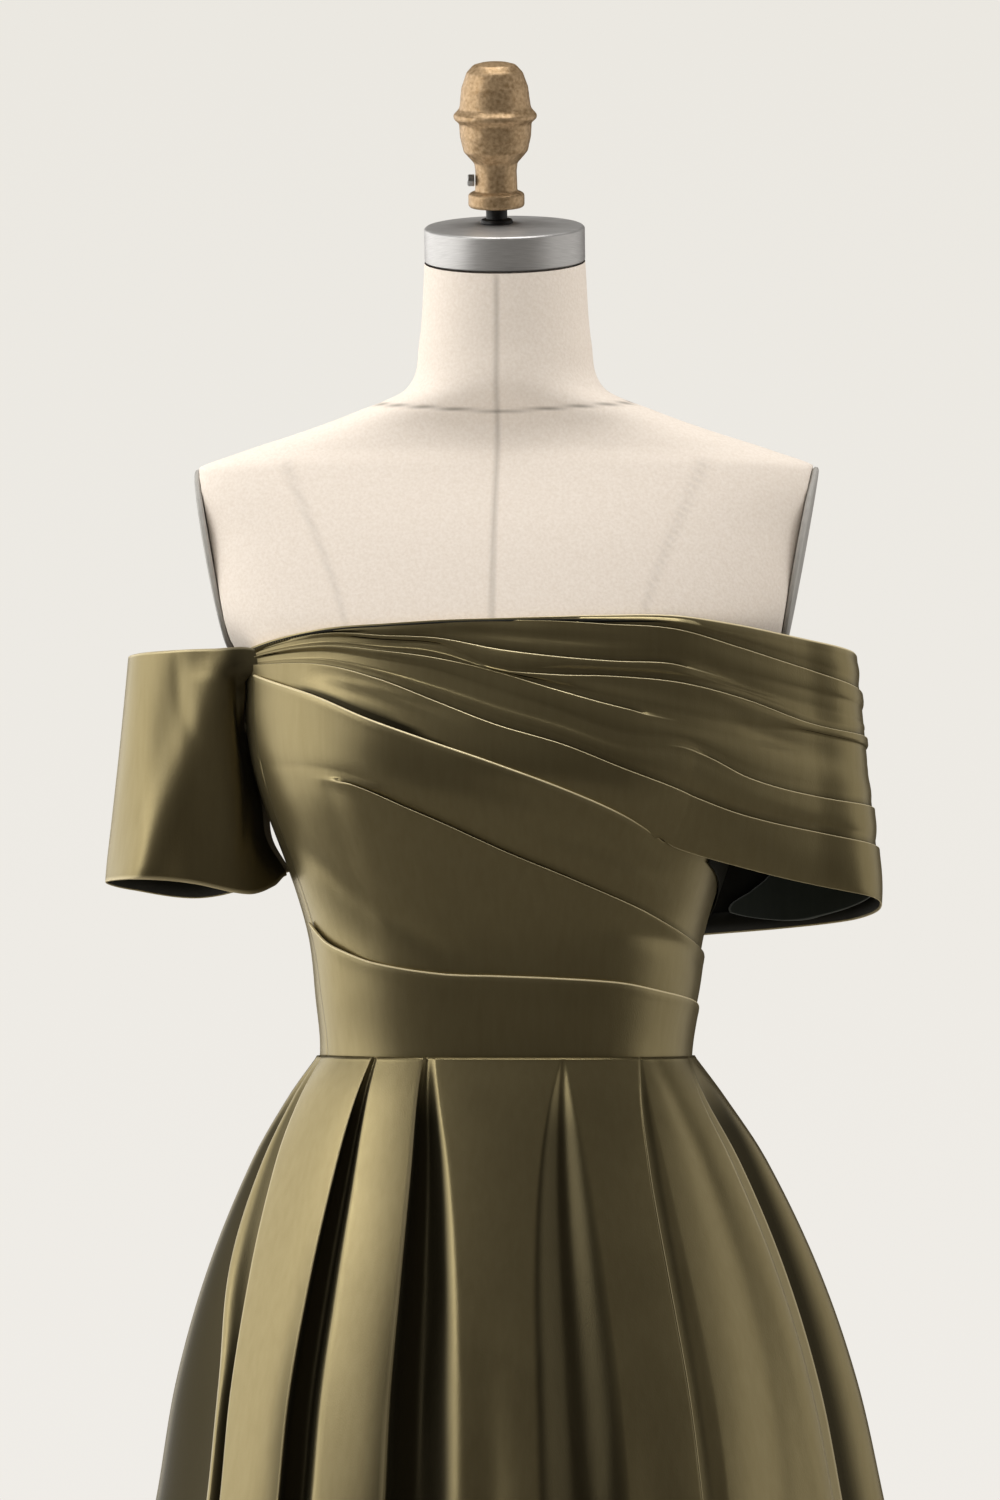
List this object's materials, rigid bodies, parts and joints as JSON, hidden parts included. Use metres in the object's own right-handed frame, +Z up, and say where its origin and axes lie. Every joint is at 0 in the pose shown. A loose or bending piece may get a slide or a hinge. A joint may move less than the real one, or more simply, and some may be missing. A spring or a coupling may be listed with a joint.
{
  "type": "off-shoulder dress on a dress form with stand",
  "caption": "Long off-shoulder satin dress with a diagonal folded drape, plain elbow sleeves and a pleated skirt, worn by a limbless dress form on a stand.",
  "frame": {"origin": "centre of the stand's foot, on the floor", "axes": "+Z up, -Y the dress's front, +X the wearer's left, which is on the right of the picture"},
  "size_m": [0.77, 0.6769, 1.7038],
  "materials": {
    "satin": "heavy olive-gold satin with a soft lustre",
    "lining": "dark grey-green lining",
    "linen": "cream linen form cover, matt",
    "grey_plate": "matt warm grey paint",
    "brushed_cap": "brushed",
    "black_steel": "blackened",
    "hammered_brass": "hammered and aged",
    "zinc": "zinc plated",
    "stand_iron": "satin black",
    "zip_metal": "lacquered to match the satin"
  },
  "bodies": {
    "dress": {"form_torso": "linen", "form_plate_left": "grey_plate", "form_plate_right": "grey_plate", "neck_cap": "brushed_cap", "cap_stub": "black_steel", "finial": "hammered_brass", "finial_bolt": "zinc", "stand_foot": "stand_iron", "stand_pole": "stand_iron", "drape_front": "satin", "bodice_front": "satin", "waist_band": "satin", "side_panel_right": "satin", "bodice_back_left": "satin", "bodice_back_right": "satin", "sleeve_right": "satin", "sleeve_left_under": "satin", "sleeve_left_lining": "lining", "skirt_front": "satin", "skirt_back_left": "satin", "skirt_back_right": "satin", "zip_tape_bodice": "satin", "zip_tape_skirt": "satin", "zip_slider": "zip_metal"},
    "zip_pull": {"zip_pull": "zip_metal"}
  },
  "joints": [
    {"name": "zip_pull", "type": "hinge", "parent": "dress", "child": "zip_pull", "pos_m": [0, 0.1091, 1.281], "axis": [1, 0, 0], "range_deg": [0, 150]}
  ]
}
